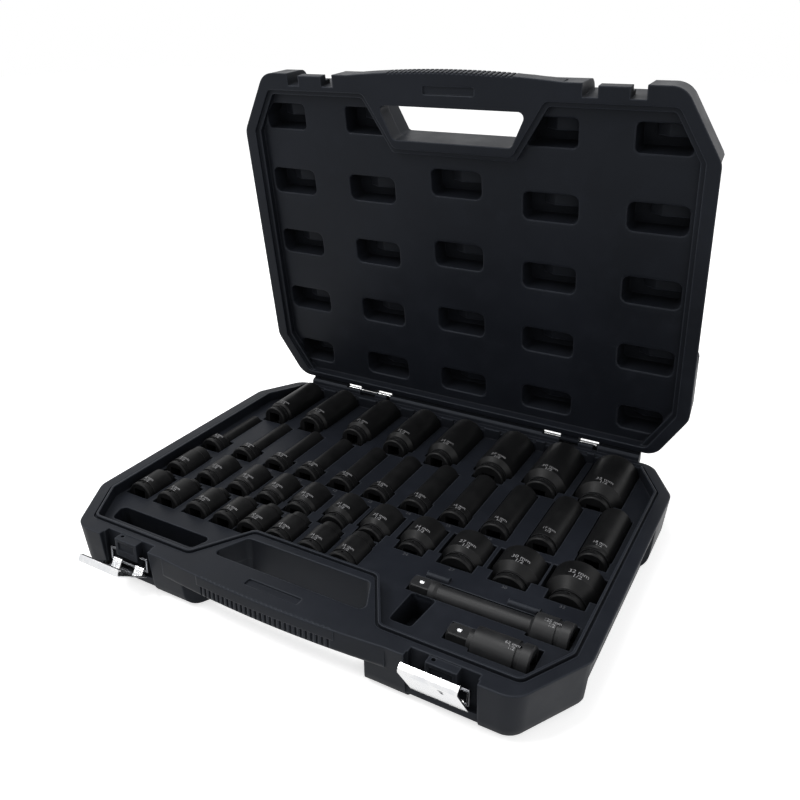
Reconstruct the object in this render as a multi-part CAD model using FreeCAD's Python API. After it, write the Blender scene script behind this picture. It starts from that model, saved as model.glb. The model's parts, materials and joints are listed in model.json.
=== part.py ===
import FreeCAD, Part
import math
import os

V = FreeCAD.Vector
os.makedirs("parts", exist_ok=True)

# ---------------------------------------------------------------- case, outside
CASE_W = 450.0            # across the sides, at the rim
CASE_D = 335.0            # front face to rear face, at the rim
BASE_H = 44.0             # base height, underside to rim
LID_H = 34.0              # lid height, rim to top
RIM_GAP = 0.2             # air between the two rims when shut
BASE_DRAFT_DEG = 5.5      # outer wall draft
LID_DRAFT_DEG = 4.5
CORNER_R = 18.0           # upright corner rounding
BASE_EDGE_R = 14.0        # rounding round the underside
LID_EDGE_R = 10.0         # rounding round the top
UNDER_RECESS = 0.6        # underside stands on a border round a shallow recess
TOP_RECESS = 0.6
FRONT_CUT_X = 31.5        # front corner cut, along the width
FRONT_CUT_Y = 56.0        # front corner cut, along the depth
REAR_CUT_X = 26.5
REAR_CUT_Y = 46.6
FRONT_Y = -CASE_D / 2
REAR_Y = CASE_D / 2
PLAN_W = 450.0            # width and depth that the places inside the case are laid out for
PLAN_D = 335.0
ACROSS = CASE_W / PLAN_W
ALONG = CASE_D / PLAN_D

# ---------------------------------------------------------------- side recesses
FLANGE = 3.2              # rim flange over each side recess
SIDE_FRONT_Y = FRONT_Y + 60.0
SIDE_REAR_Y = REAR_Y - 103.0
SIDE_DEPTH = 6.4
SIDE_LEAN = 2.0           # the recess is this much deeper away from the rim
SIDE_RUN_OUT = 10.0       # slanted ends

# ---------------------------------------------------------------- rim and tray
LAND_SIDE = 12.3          # flat rim width at the sides and cut corners
LAND_FRONT = 16.5
LAND_REAR = 6.6
BEAD_W = 2.0              # raised bead along the inner edge of the base rim
BEAD_H = 1.2
GROOVE_W = 1.8            # groove just outside the bead
GROOVE_DEPTH = 1.6
BEAD_AIR = 0.8            # room for the bead inside the lid dish
TRAY_DEPTH = 9.5          # tray surface below the rim
TRAY_CORNER_R = 7.0
FLOOR = 1.4               # least thickness under a socket
LID_STEP_DEPTH = 3.2      # first step of the lid dish
LID_STEP_W = 3.6
LID_DISH_DEPTH = 9.4      # lid panel below the lid rim
SLOT_X0 = -194.0 * ACROSS  # finger slot in the tray, left of the handle
SLOT_X1 = -92.0 * ACROSS
SLOT_Y0 = FRONT_Y + 32.0
SLOT_W = 18.0
SLOT_TAPER = 6.0
SLOT_DEPTH = 34.0

# ---------------------------------------------------------------- handle
HOLE_REAR_Y = FRONT_Y + 55.5   # rear wall of the handle opening
HOLE_REAR_HALF = 57.0
HOLE_FRONT_HALF = 70.5
GRIP_REAR_Y = FRONT_Y + 25.0   # rear face of the grip bar
BAY_FRONT_HALF = 84.0     # gap under the grip, at the front wall
GRIP_H = 19.0             # grip height in the base
GRIP_H_LID = 16.0
GRIP_BULGE = 5.0          # how far the grip bows out in front of the walls
GRIP_BULGE_HALF = 100.0
GRIP_EDGE_R = 4.0
GRIP_RIB_PITCH = 4.4
GRIP_RIB_N = 27
GRIP_RIB_W = 2.0
GRIP_RIB_DEPTH = 1.1
GRIP_SLOT_HALF = 24.0     # shallow slot in the faces where the two grip halves meet
GRIP_SLOT_Y = FRONT_Y + 10.5
GRIP_SLOT_W = 7.0
GRIP_SLOT_DEPTH = 1.4
LIP_REAR_Y = FRONT_Y + 64.5    # tray lip behind the handle
LIP_REAR_HALF = 57.5
LIP_FRONT_HALF = 86.0

# ---------------------------------------------------------------- hinge
HINGE_Y = REAR_Y + 6.5
HINGE_UP = 3.8            # pin axis above the rim
HINGE_X = (-112.0 * ACROSS, 117.0 * ACROSS)
PIN_R = 1.3
PIN_LEN = 53.0
PIN_BEND = 2.4
PIN_LEG = 5.0             # bent end
PIN_FIT = 0.06            # radial running fit in the lid knuckle
PIN_SEAT = 0.02
PIN_SNAP = 0.12           # seat mouth is this much narrower each side
SEAT_UP = 0.6             # seat walls over the pin axis
LEG_AIR = 0.5
KNUCKLE_R = 4.2
KNUCKLE_W = 18.0
KNUCKLE_AIR = 0.6
KNUCKLE_MOUTH_DEG = 31.0  # open mouth of the left knuckle, turned from straight down
RAIL_HALF = 185.0 * ACROSS
# section of the rail behind the rim: (behind the rear wall, over the rim)
RAIL_SECTION = ((-4.0, -9.0), (-4.0, -0.3), (0.3, -0.3), (0.8, 3.5), (2.5, 5.8), (5.0, 6.0),
                (6.4, 8.5), (8.6, 8.5), (9.6, -2.0), (-3.0, -19.0))
LID_OPEN_DEG = 81.0       # how far the lid stands open as drawn

# ---------------------------------------------------------------- latches
LATCH_X = 141.0 * ACROSS
BAY_HALF = 26.5           # shallow relief round the latch
BAY_RELIEF = 4.5
BAY_LIFT = 8.5            # underside is this much higher under each latch
BAY_LIFT_REAR_Y = FRONT_Y + 27.5
NOTCH_REAR_Y = FRONT_Y + 9.5
NOTCH_DROP = 29.0         # notch height below the rim
BLOCK_HALF = 11.5
BLOCK_DROP = 16.6         # block height below the rim
BLOCK_FRONT_Y = FRONT_Y + 2.0
BAIL_R = 1.25
BAIL_HALF = 19.3          # wire leg centre from the latch centre
BAIL_PIVOT_Y = FRONT_Y + 4.9
BAIL_PIVOT_DOWN = 13.0    # below the rim
BAIL_REACH = 10.6         # base pivot to lever pivot
BAIL_DOWN_DEG = 87.0      # direction of the legs below horizontal, as drawn
WIRE_FIT = 0.08
LEVER_HALF = 21.0
LEVER_T = 1.3
LEVER_LEN = 36.6
LEVER_HOOK = 6.2
LEVER_OFFSET = 3.1        # plate in front of the wire axis
LEVER_CURL_R = 2.7
LEVER_LIP = 3.4
TUBE_W = 9.0
KEYHOLE_X = 8.0           # keyhole near the lip, with its slot toward the wire
KEYHOLE_UP = 29.0
KEYHOLE_R = 2.2
KEYHOLE_SLOT = 6.5
LEVER_OPEN_DEG = (57.0, 33.0)  # left and right lever away from upright, as drawn
CATCH_HALF = 12.5
CATCH_H = 16.0            # catch block height over the rim
CATCH_FRONT_Y = FRONT_Y + 1.9
CATCH_NOTCH = 12.5
CATCH_NOTCH_Y = FRONT_Y + 11.0
CATCH_LEDGE_UP = 9.3      # ledge that the lever lip pulls on, above the rim
CATCH_STEP = 5.0

# ---------------------------------------------------------------- sockets
DRIVE = 12.7              # square drive
DRIVE_AIR = 0.15
DRIVE_DEPTH = 16.0
SMALL_HEAD_D = 25.0       # drive end, sizes up to 24
LARGE_HEAD_D = 30.0       # drive end, sizes from 27 up
NUT_RATIO = 1.2           # nut end diameter: ratio times the size plus the wall
NUT_WALL = 5.0
SHALLOW_L = 38.0
DEEP_L = 74.0
DEEP_NECK = 13.5          # small deep sockets: drive end length before the slim body
SHALLOW_NECK = 29.0
DEEP_SHOULDER = 9.8       # large sockets: drive end length before the nut end
SHALLOW_SHOULDER = 8.8
RING_FROM_FACE = 5.2
RING_W = 3.6
RING_DEPTH = 1.3
CROSS_HOLE_R = 1.5
HEX_AIR = 0.3
POCKET_AIR = 0.6
FACE_ROOM = 4.2           # pocket length in front of the drive face
END_ROOM = 0.9            # pocket length behind the nut end
END_ROOM_REAR = 2.7       # the same in the rear row, through the bead
DEEP_BODY_TOP = 7.0       # tops over the rim: rear row, body and drive end
DEEP_HEAD_TOP = 5.0
SLIM_BODY_TOP = 1.1       # second row
SLIM_HEAD_TOP = 0.0
SHALLOW_TOP = 0.5         # third and fourth row

# (size, place across the plan width)
DEEP_LARGE = ((19, -178.0), (20, -133.0), (21, -80.5), (22, -33.0),
              (24, 14.5), (27, 68.0), (30, 117.5), (32, 167.5))
DEEP_SMALL = ((8, -196.5), (9, -157.3), (10, -118.0), (11, -82.5), (12, -44.4), (13, -7.1),
              (14, 31.3), (15, 69.6), (16, 107.5), (17, 148.0), (18, 190.0))
SHALLOW_LARGE = ((16, -194.5), (17, -157.6), (18, -121.2), (19, -88.2), (20, -55.5), (21, -18.2),
                 (22, 17.6), (24, 57.2), (27, 97.9), (30, 141.8), (32, 187.0))
SHALLOW_SMALL = ((8, -196.0), (9, -163.8), (10, -130.2), (11, -99.5),
                 (12, -72.7), (13, -44.4), (14, -12.4), (15, 17.9))
# drive face of each row; the spare room between the rows is shared out
REAR_ROW_Y = REAR_Y - 83.0
FRONT_ROW_Y = LIP_REAR_Y + 8.0
SPARE = REAR_ROW_Y - FRONT_ROW_Y - 2 * SHALLOW_L - DEEP_L
FACE_Y = {"deep_large": REAR_ROW_Y,
          "deep_small": REAR_ROW_Y - DEEP_L - 0.25 * SPARE,
          "shallow_large": FRONT_ROW_Y + SHALLOW_L + 0.24 * SPARE,
          "shallow_small": FRONT_ROW_Y}

# ---------------------------------------------------------------- extension bars
SHAFT_R = 7.4
NECK_R = 8.8
DRUM_R = 12.4
LONG_X0 = 79.0 * ACROSS
LONG_L = 125.0
LONG_Y = FRONT_Y + 81.5
SHORT_X0 = 126.0 * ACROSS
SHORT_L = 62.0
SHORT_Y = FRONT_Y + 47.0
BAR_DOWN = 12.2           # bar axis below the rim
DRUM_L = 27.0
MALE_L = 16.0
NECK_L = 4.0
BAR_RING = 9.5            # ring groove from the drum end
BALL_R = 2.4
BALL_PROUD = 1.3
BALL_FROM_END = 8.0
FINGER_DEPTH = 33.0       # finger pocket between the two bar ends
CLIP_R = 3.4              # low ridges beside the long bar
CLIP_GAP = 3.2
CLIPS = ((5.7, 24.5), (72.0, 96.5))   # from the male end of the long bar

# ---------------------------------------------------------------- lid pockets
COL_X = [x * ACROSS for x in (-180.0, -89.0, 0.0, 89.0, 180.0)]
ROW_Y = [y * ALONG for y in (-125.0, -59.5, 7.0, 73.5, 138.5)]
MID_ROW_Y = [y * ALONG for y in (-72.4, -2.0, 68.5, 138.5)]
CELL_W = 48.0
CELL_H = 31.0
CELL_FRONT_W = 43.0       # row behind the front wall
CELL_FRONT_H = 29.0
CELL_CORNER_W = 40.0      # outer cells of the row at the hinges
CELL_R = 4.0
CELL_DEPTH = 20.0
CELL_DRAFT = 1.2
CELL_LIP = 1.5            # eased edge round each cell
CELL_CUT = (10.0, 20.0)   # cut corner beside the case corner
CELL_SLANT = (14.0, 24.0)  # cut corner beside the handle
KISS_W = 27.0             # block that rises in each cell
KISS_FROM_REAR = 11.0
KISS_DOWN = 12.0


def outline(side, front, rear, corner):
    """Eight corners of the case outline, moved inward by the given amounts."""
    hw = CASE_W / 2
    hd = REAR_Y
    fl = math.hypot(FRONT_CUT_X, FRONT_CUT_Y)
    rl = math.hypot(REAR_CUT_X, REAR_CUT_Y)
    planes = [
        (1.0, 0.0, hw - side),
        (REAR_CUT_Y / rl, REAR_CUT_X / rl,
         (hw * REAR_CUT_Y + (hd - REAR_CUT_Y) * REAR_CUT_X) / rl - corner),
        (0.0, 1.0, hd - rear),
        (-REAR_CUT_Y / rl, REAR_CUT_X / rl,
         (hw * REAR_CUT_Y + (hd - REAR_CUT_Y) * REAR_CUT_X) / rl - corner),
        (-1.0, 0.0, hw - side),
        (-FRONT_CUT_Y / fl, -FRONT_CUT_X / fl,
         (hw * FRONT_CUT_Y + (hd - FRONT_CUT_Y) * FRONT_CUT_X) / fl - corner),
        (0.0, -1.0, hd - front),
        (FRONT_CUT_Y / fl, -FRONT_CUT_X / fl,
         (hw * FRONT_CUT_Y + (hd - FRONT_CUT_Y) * FRONT_CUT_X) / fl - corner),
    ]
    return [cross_lines(planes[i - 1], planes[i]) for i in range(8)]


def cross_lines(p, q):
    det = p[0] * q[1] - p[1] * q[0]
    x = (p[2] * q[1] - p[1] * q[2]) / det
    y = (p[0] * q[2] - p[2] * q[0]) / det
    return (x, y)


def grow(pts, d):
    """Move every edge of a counter-clockwise polygon outward by d."""
    lines = []
    n = len(pts)
    for i in range(n):
        x0, y0 = pts[i]
        x1, y1 = pts[(i + 1) % n]
        length = math.hypot(x1 - x0, y1 - y0)
        nx = (y1 - y0) / length
        ny = -(x1 - x0) / length
        lines.append((nx, ny, nx * x0 + ny * y0 + d))
    return [cross_lines(lines[i - 1], lines[i]) for i in range(n)]


def polygon(pts, z):
    vs = [V(x, y, z) for x, y in pts]
    return Part.makePolygon(vs + [vs[0]])


def round_wire(pts, r, z):
    """Closed wire through the points with every corner rounded by r."""
    edges = []
    n = len(pts)
    cuts = []
    for i in range(n):
        a = V(pts[i - 1][0], pts[i - 1][1], z)
        b = V(pts[i][0], pts[i][1], z)
        c = V(pts[(i + 1) % n][0], pts[(i + 1) % n][1], z)
        u = (a - b).normalize()
        w = (c - b).normalize()
        half = math.acos(max(-1.0, min(1.0, u.dot(w)))) / 2
        t = r / math.tan(half)
        mid = (u + w).normalize()
        centre = b + mid * (r / math.sin(half))
        cuts.append((b + u * t, centre - mid * r, b + w * t))
    for i in range(n):
        p0, pm, p1 = cuts[i]
        edges.append(Part.Arc(p0, pm, p1).toShape())
        edges.append(Part.makeLine(p1, cuts[(i + 1) % n][0]))
    return Part.Wire(edges)


def slab(pts, z0, z1, r=0.0):
    """Upright prism over a polygon, corners rounded by r."""
    wire = round_wire(pts, r, z0) if r else polygon(pts, z0)
    return Part.Face(wire).extrude(V(0, 0, z1 - z0))


def tapered(pts0, z0, pts1, z1):
    return Part.makeLoft([polygon(pts0, z0), polygon(pts1, z1)], True, True)


def box(x0, x1, y0, y1, z0, z1):
    return Part.makeBox(x1 - x0, y1 - y0, z1 - z0, V(x0, y0, z0))


def rod(p, direction, r, length):
    return Part.makeCylinder(r, length, V(*p), V(*direction))


def rect(cx, cy, w, h):
    return [(cx - w / 2, cy - h / 2), (cx + w / 2, cy - h / 2),
            (cx + w / 2, cy + h / 2), (cx - w / 2, cy + h / 2)]


def upright_edges(shape, lean):
    """Edges that run mainly along Z."""
    out = []
    for e in shape.Edges:
        d = e.Vertexes[-1].Point - e.Vertexes[0].Point
        if d.Length > 1 and abs(d.z) / d.Length > math.cos(math.radians(lean)):
            out.append(e)
    return out


def level_edges(shape, z):
    return [e for e in shape.Edges
            if all(abs(v.Point.z - z) < 0.01 for v in e.Vertexes)]


def revolve_y(profile):
    """Solid of revolution about the Y axis; profile is (radius, y) from the axis round."""
    pts = [V(r, y, 0) for r, y in profile]
    face = Part.Face(Part.makePolygon(pts + [pts[0]]))
    return face.revolve(V(0, 0, 0), V(0, 1, 0), 360)


def hexagon_bore(across, y0, y1):
    r = across / math.sqrt(3)
    pts = [V(r * math.cos(math.radians(60 * i)), y0, r * math.sin(math.radians(60 * i)))
           for i in range(6)]
    return Part.Face(Part.makePolygon(pts + [pts[0]])).extrude(V(0, y1 - y0, 0))


# ================================================================ sockets
def nut_diameter(size):
    return NUT_RATIO * size + NUT_WALL


def head_diameter(size):
    return LARGE_HEAD_D if size >= 27 else SMALL_HEAD_D


def socket_steps(size, length):
    """Head radius, body radius, where the shoulder starts and where it ends."""
    head = head_diameter(size) / 2
    body = nut_diameter(size) / 2
    deep = length > SHALLOW_L
    if body < head:
        start = DEEP_NECK if deep else SHALLOW_NECK
        end = start + (head - body) * 1.3
    else:
        start = DEEP_SHOULDER if deep else SHALLOW_SHOULDER
        end = start + max(2.0, (body - head) * 1.15)
    return head, body, start, end


def make_socket(size, length):
    """Socket with its drive face at y = 0 and the nut end at y = length."""
    head, body, start, end = socket_steps(size, length)
    ring0 = RING_FROM_FACE - RING_W / 2
    ring1 = RING_FROM_FACE + RING_W / 2
    edge = 0.9
    profile = [(0, 0), (head - edge, 0), (head, edge), (head, ring0),
               (head - RING_DEPTH, ring0), (head - RING_DEPTH, ring1), (head, ring1),
               (head, start), (body, end), (body, length - 1.0), (body - 1.0, length),
               (0, length)]
    solid = revolve_y(profile)
    half = (DRIVE + DRIVE_AIR) / 2
    solid = solid.cut(box(-half, half, -1, DRIVE_DEPTH, -half, half))
    hex_across = size + HEX_AIR
    hex_depth = min(0.62 * size + 8.0, length - DRIVE_DEPTH - 4.0)
    solid = solid.cut(hexagon_bore(hex_across, length - hex_depth, length + 1))
    bore = min(hex_across * 0.48, 9.5)
    solid = solid.cut(rod((0, DRIVE_DEPTH - 1, 0), (0, 1, 0), bore, length - DRIVE_DEPTH))
    mouth = hex_across / math.sqrt(3)
    if mouth < body - 0.8:
        cone = Part.makeCone(mouth - 0.6, mouth + 0.5, 1.1, V(0, length - 1.1, 0), V(0, 1, 0))
        solid = solid.cut(cone)
    pin = rod((0, RING_FROM_FACE, -head - 1), (0, 0, 1), CROSS_HOLE_R, 2 * head + 2)
    return solid.cut(pin)


def socket_axis_height(size, row):
    """Height of the socket axis over the underside of the base."""
    head, body, start, end = socket_steps(size, SHALLOW_L)
    if row == "deep_large":
        return BASE_H + min(DEEP_HEAD_TOP - head, DEEP_BODY_TOP - body)
    if row == "deep_small":
        return BASE_H + min(SLIM_HEAD_TOP - head, SLIM_BODY_TOP - body)
    widest = max(head, body)
    return max(BASE_H + SHALLOW_TOP - widest, widest + POCKET_AIR + UNDER_RECESS + FLOOR)


def socket_rows():
    for row, places in (("deep_large", DEEP_LARGE), ("deep_small", DEEP_SMALL),
                        ("shallow_large", SHALLOW_LARGE), ("shallow_small", SHALLOW_SMALL)):
        length = DEEP_L if row.startswith("deep") else SHALLOW_L
        for size, x in places:
            yield row, size, x * ACROSS, FACE_Y[row], length


def socket_pocket(row, size, x, y, length):
    """Trough that the socket lies in, open to the top."""
    head, body, start, end = socket_steps(size, length)
    z = socket_axis_height(size, row)
    rear = y + length + END_ROOM
    top = BASE_H - TRAY_DEPTH + 1.0
    cuts = []
    if row == "deep_large":
        top = BASE_H + BEAD_H + 1.0
        wide = body + POCKET_AIR
        cuts.append(box(x - wide, x + wide, y + end, y + length + END_ROOM_REAR,
                        BASE_H - GROOVE_DEPTH, top))
    step = end if body < head else start - 0.8
    for r, y0, y1 in ((head, y - FACE_ROOM, y + step), (body, y + step, rear)):
        rr = r + POCKET_AIR
        cuts.append(rod((x, y0, z), (0, 1, 0), rr, y1 - y0))
        if top > z:
            cuts.append(box(x - rr, x + rr, y0, y1, z, top))
    return cuts


# ================================================================ extension bars
def revolve_x(profile):
    """Solid of revolution about the X axis; profile is (x, radius)."""
    pts = [V(x, r, 0) for x, r in profile]
    face = Part.Face(Part.makePolygon(pts + [pts[0]]))
    return face.revolve(V(0, 0, 0), V(1, 0, 0), 360)


def male_square():
    """Square drive with softened end, from x = 0 to MALE_L."""
    h = DRIVE / 2
    sq = box(0, MALE_L + 1, -h, h, -h, h)
    turned = revolve_x([(0, 0), (0, h + 0.6), (1.8, 8.5), (MALE_L + 1, 8.5), (MALE_L + 1, 0)])
    return sq.common(turned)


def make_bar(length, slim):
    """Extension bar: male square at x = 0, female drum at x = length."""
    drum0 = length - DRUM_L
    neck1 = MALE_L + NECK_L
    ring = length - BAR_RING
    profile = [(MALE_L, 0), (MALE_L, NECK_R), (neck1, NECK_R)]
    if slim:
        profile += [(neck1 + 2.5, SHAFT_R), (drum0 - 3.0, SHAFT_R), (drum0, DRUM_R)]
    else:
        profile += [(neck1 + 0.5, DRUM_R)]
    profile += [(ring - RING_W / 2, DRUM_R), (ring - RING_W / 2, DRUM_R - RING_DEPTH),
                (ring + RING_W / 2, DRUM_R - RING_DEPTH), (ring + RING_W / 2, DRUM_R),
                (length - 1.0, DRUM_R), (length, DRUM_R - 1.0), (length, 0)]
    bar = revolve_x(profile).fuse(male_square()).removeSplitter()
    half = (DRIVE + DRIVE_AIR) / 2
    bar = bar.cut(box(length - DRIVE_DEPTH, length + 1, -half, half, -half, half))
    bar = bar.cut(rod((ring, 0, -DRUM_R - 1), (0, 0, 1), CROSS_HOLE_R, 2 * DRUM_R + 2))
    hole = rod((BALL_FROM_END, 0, DRIVE / 2 - 6.0), (0, 0, 1), BALL_R + 0.06, 7.0)
    return bar.cut(hole)


def ball_centre_up():
    return DRIVE / 2 + BALL_PROUD - BALL_R


# ================================================================ shells
def case_block(z_rim, z_far, draft, edge_r):
    """Outer block of one half, widest at the rim."""
    lean = abs(z_far - z_rim) * math.tan(math.radians(draft))
    wide = outline(0, 0, 0, 0)
    tight = outline(lean, lean, lean, lean)
    if z_far > z_rim:
        block = tapered(wide, z_rim, tight, z_far)
    else:
        block = tapered(tight, z_far, wide, z_rim)
    block = block.makeFillet(CORNER_R, upright_edges(block, 30))
    return block.makeFillet(edge_r, level_edges(block, z_far))


def side_recesses(z_rim, z_far):
    """Long recess in each side wall, under the rim flange."""
    out = []
    far_out = CASE_W / 2 + 6.0
    for s in (-1, 1):
        rings = []
        for depth in (SIDE_DEPTH, SIDE_DEPTH + SIDE_LEAN):
            inner = CASE_W / 2 - depth
            rings.append([(s * far_out, SIDE_FRONT_Y - SIDE_RUN_OUT), (s * inner, SIDE_FRONT_Y),
                          (s * inner, SIDE_REAR_Y), (s * far_out, SIDE_REAR_Y + SIDE_RUN_OUT)])
        out.append(tapered(rings[0], z_rim, rings[1], z_far))
    return out


def handle_opening(z0, z1):
    pts = [(-HOLE_FRONT_HALF, GRIP_REAR_Y), (HOLE_FRONT_HALF, GRIP_REAR_Y),
           (HOLE_REAR_HALF, HOLE_REAR_Y), (-HOLE_REAR_HALF, HOLE_REAR_Y)]
    return slab(pts, z0, z1, 5.0)


def grip_bay(z0, z1):
    """Free space beyond the grip, open to the front."""
    slope = (BAY_FRONT_HALF - HOLE_REAR_HALF) / (HOLE_REAR_Y - FRONT_Y)
    front = FRONT_Y - 14.0
    half = HOLE_REAR_HALF + slope * (HOLE_REAR_Y - front)
    pts = [(-half, front), (half, front), (HOLE_REAR_HALF, HOLE_REAR_Y),
           (-HOLE_REAR_HALF, HOLE_REAR_Y)]
    return slab(pts, z0, z1, 4.0)


def grip_bow(z_rim, z_far):
    """Bowed front of the grip, rounded at its edge away from the rim."""
    a = V(-GRIP_BULGE_HALF, FRONT_Y, z_rim)
    b = V(0, FRONT_Y - GRIP_BULGE, z_rim)
    c = V(GRIP_BULGE_HALF, FRONT_Y, z_rim)
    back = FRONT_Y + 8.0
    wire = Part.Wire([Part.Arc(a, b, c).toShape(), Part.makeLine(c, V(c.x, back, z_rim)),
                      Part.makeLine(V(c.x, back, z_rim), V(a.x, back, z_rim)),
                      Part.makeLine(V(a.x, back, z_rim), a)])
    bow = Part.Face(wire).extrude(V(0, 0, z_far - z_rim))
    front = [e for e in level_edges(bow, z_far) if e.CenterOfMass.y < FRONT_Y]
    return bow.makeFillet(GRIP_EDGE_R, front)


def grip_slot(z_rim, into):
    """Shallow slot in the meeting face of the grip."""
    z_in = z_rim + into * GRIP_SLOT_DEPTH
    z_out = z_rim - into
    return slab(rect(0, GRIP_SLOT_Y, 2 * GRIP_SLOT_HALF, GRIP_SLOT_W), min(z_in, z_out),
                max(z_in, z_out), 1.5)


def grip_ribs(z0, z1):
    """Upright grooves across the front of the grip."""
    cuts = []
    radius = (GRIP_BULGE_HALF ** 2 + GRIP_BULGE ** 2) / (2 * GRIP_BULGE)
    cy = FRONT_Y - GRIP_BULGE + radius
    for i in range(GRIP_RIB_N):
        x = (i - (GRIP_RIB_N - 1) / 2) * GRIP_RIB_PITCH
        y = cy - math.sqrt(radius ** 2 - x ** 2)
        cuts.append(box(x - GRIP_RIB_W / 2, x + GRIP_RIB_W / 2, y - 3.0, y + GRIP_RIB_DEPTH,
                        z0, z1))
    return cuts


def tray_outline(extra, rear_extra=0.0):
    """Inner edge of the rim with the notch round the handle, moved outward by extra."""
    base = outline(LAND_SIDE, LAND_FRONT, LAND_REAR - rear_extra, LAND_SIDE - 1.3)
    front_y = FRONT_Y + LAND_FRONT
    notch = [(-LIP_FRONT_HALF, front_y), (-LIP_REAR_HALF, LIP_REAR_Y),
             (LIP_REAR_HALF, LIP_REAR_Y), (LIP_FRONT_HALF, front_y)]
    pts = base[:7] + notch + base[7:]
    return grow(pts, extra) if extra else pts


# ================================================================ base
def latch_bay_cuts(cx):
    """Relief, raised underside and notch of one latch seat in the base."""
    front = FRONT_Y - 12.0
    notch = BAY_HALF - 1.0
    return [box(cx - BAY_HALF, cx + BAY_HALF, front, FRONT_Y + BAY_RELIEF, -1, BASE_H + 1),
            box(cx - BAY_HALF, cx + BAY_HALF, front, BAY_LIFT_REAR_Y, -1, BAY_LIFT),
            box(cx - notch, cx + notch, front, NOTCH_REAR_Y, BASE_H - NOTCH_DROP, BASE_H + 1)]


def latch_block(cx):
    """Centre block that carries the wire, with a shallow inset in its front."""
    low = BASE_H - BLOCK_DROP
    block = box(cx - BLOCK_HALF, cx + BLOCK_HALF, BLOCK_FRONT_Y, NOTCH_REAR_Y + 2, low,
                BASE_H - 0.6)
    inset = box(cx - BLOCK_HALF + 3, cx + BLOCK_HALF - 3, BLOCK_FRONT_Y - 1, BLOCK_FRONT_Y + 1.0,
                low + 6, BASE_H - 3.5)
    hole = rod((cx - BLOCK_HALF + 4.0, BLOCK_FRONT_Y + 5.0, BASE_H - 8), (0, 0, 1), 1.6, 12)
    return block.cut(inset).cut(hole)


def bail_hole(cx):
    """Cross hole for the wire through the centre block."""
    return rod((cx - BLOCK_HALF - 1, BAIL_PIVOT_Y, BASE_H - BAIL_PIVOT_DOWN), (1, 0, 0),
               BAIL_R + WIRE_FIT, 2 * BLOCK_HALF + 2)


def hinge_rail():
    """Rail behind the rim with the open seats of both hinge pins."""
    pts = [V(-RAIL_HALF, REAR_Y + y, BASE_H + z) for y, z in RAIL_SECTION]
    rail = Part.Face(Part.makePolygon(pts + [pts[0]])).extrude(V(2 * RAIL_HALF, 0, 0))
    zc = BASE_H + HINGE_UP
    high = zc + 20.0
    back = HINGE_Y + 10.0
    r = PIN_R + PIN_SEAT
    room = KNUCKLE_W / 2 + KNUCKLE_AIR
    cuts = []
    for cx in HINGE_X:
        x0 = cx - PIN_LEN / 2
        x1 = cx + PIN_LEN / 2
        leg = PIN_R + LEG_AIR
        cuts += [
            box(x0 - 1.0, x1 + leg, REAR_Y, back, zc + SEAT_UP, high),
            rod((x0 - LEG_AIR, HINGE_Y, zc), (1, 0, 0), r, PIN_LEN),
            box(x0 - LEG_AIR, x1, HINGE_Y - r + PIN_SNAP, HINGE_Y + r - PIN_SNAP, zc, high),
            box(cx - room, cx + room, REAR_Y, back, zc - KNUCKLE_R - KNUCKLE_AIR, high),
            box(x1 - PIN_BEND - LEG_AIR, x1 + leg, REAR_Y + LEG_AIR, HINGE_Y + leg,
                zc - PIN_BEND - PIN_LEG - LEG_AIR, high)]
    return rail.cut(cuts)


def bar_pockets():
    """Seats of the two extension bars and the finger pocket beside them."""
    z = BASE_H - BAR_DOWN
    top = BASE_H - TRAY_DEPTH + 1.0
    cuts = []

    def trough(x0, x1, y, r):
        cuts.append(rod((x0, y, z), (1, 0, 0), r, x1 - x0))
        cuts.append(box(x0, x1, y - r, y + r, z, top))

    slim = SHAFT_R + 2.2
    wide = DRUM_R + POCKET_AIR
    drum0 = LONG_X0 + LONG_L - DRUM_L
    neck1 = SHORT_X0 + MALE_L + NECK_L
    trough(LONG_X0 - 1.5, drum0 - 3.0, LONG_Y, slim)
    trough(drum0 - 3.6, LONG_X0 + LONG_L + 1.6, LONG_Y, wide)
    trough(SHORT_X0 - 1.5, neck1, SHORT_Y, slim)
    trough(neck1 - 0.6, SHORT_X0 + SHORT_L + 3.0, SHORT_Y, wide)
    finger = [(LONG_X0 + 4.0, LONG_Y - 45.0), (LONG_X0 + 22.0, LONG_Y - 45.0),
              (LONG_X0 + 25.0, LONG_Y - 10.0), (LONG_X0 + 5.0, LONG_Y - 10.0)]
    cuts.append(slab(finger, BASE_H - FINGER_DEPTH, top, 3.0))
    return cuts


def clip_ridges():
    """Low ridges beside the long bar."""
    y = LONG_Y + SHAFT_R + CLIP_GAP + CLIP_R
    z = BASE_H - TRAY_DEPTH
    return [rod((LONG_X0 + a, y, z), (1, 0, 0), CLIP_R, b - a) for a, b in CLIPS]


def finger_slot():
    pts = [(SLOT_X0 + SLOT_TAPER, SLOT_Y0), (SLOT_X1 - SLOT_TAPER, SLOT_Y0),
           (SLOT_X1, SLOT_Y0 + SLOT_W), (SLOT_X0, SLOT_Y0 + SLOT_W)]
    return slab(pts, BASE_H - SLOT_DEPTH, BASE_H, 5.0)


def rim_bead():
    return slab(tray_outline(0), BASE_H - 2, BASE_H + BEAD_H, TRAY_CORNER_R)


def rim_groove():
    """Narrow groove that runs round the bead."""
    outer = slab(tray_outline(GROOVE_W), BASE_H - GROOVE_DEPTH, BASE_H + 5, TRAY_CORNER_R)
    return outer.cut(slab(tray_outline(0), BASE_H - GROOVE_DEPTH - 1, BASE_H + 6, TRAY_CORNER_R))


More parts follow.
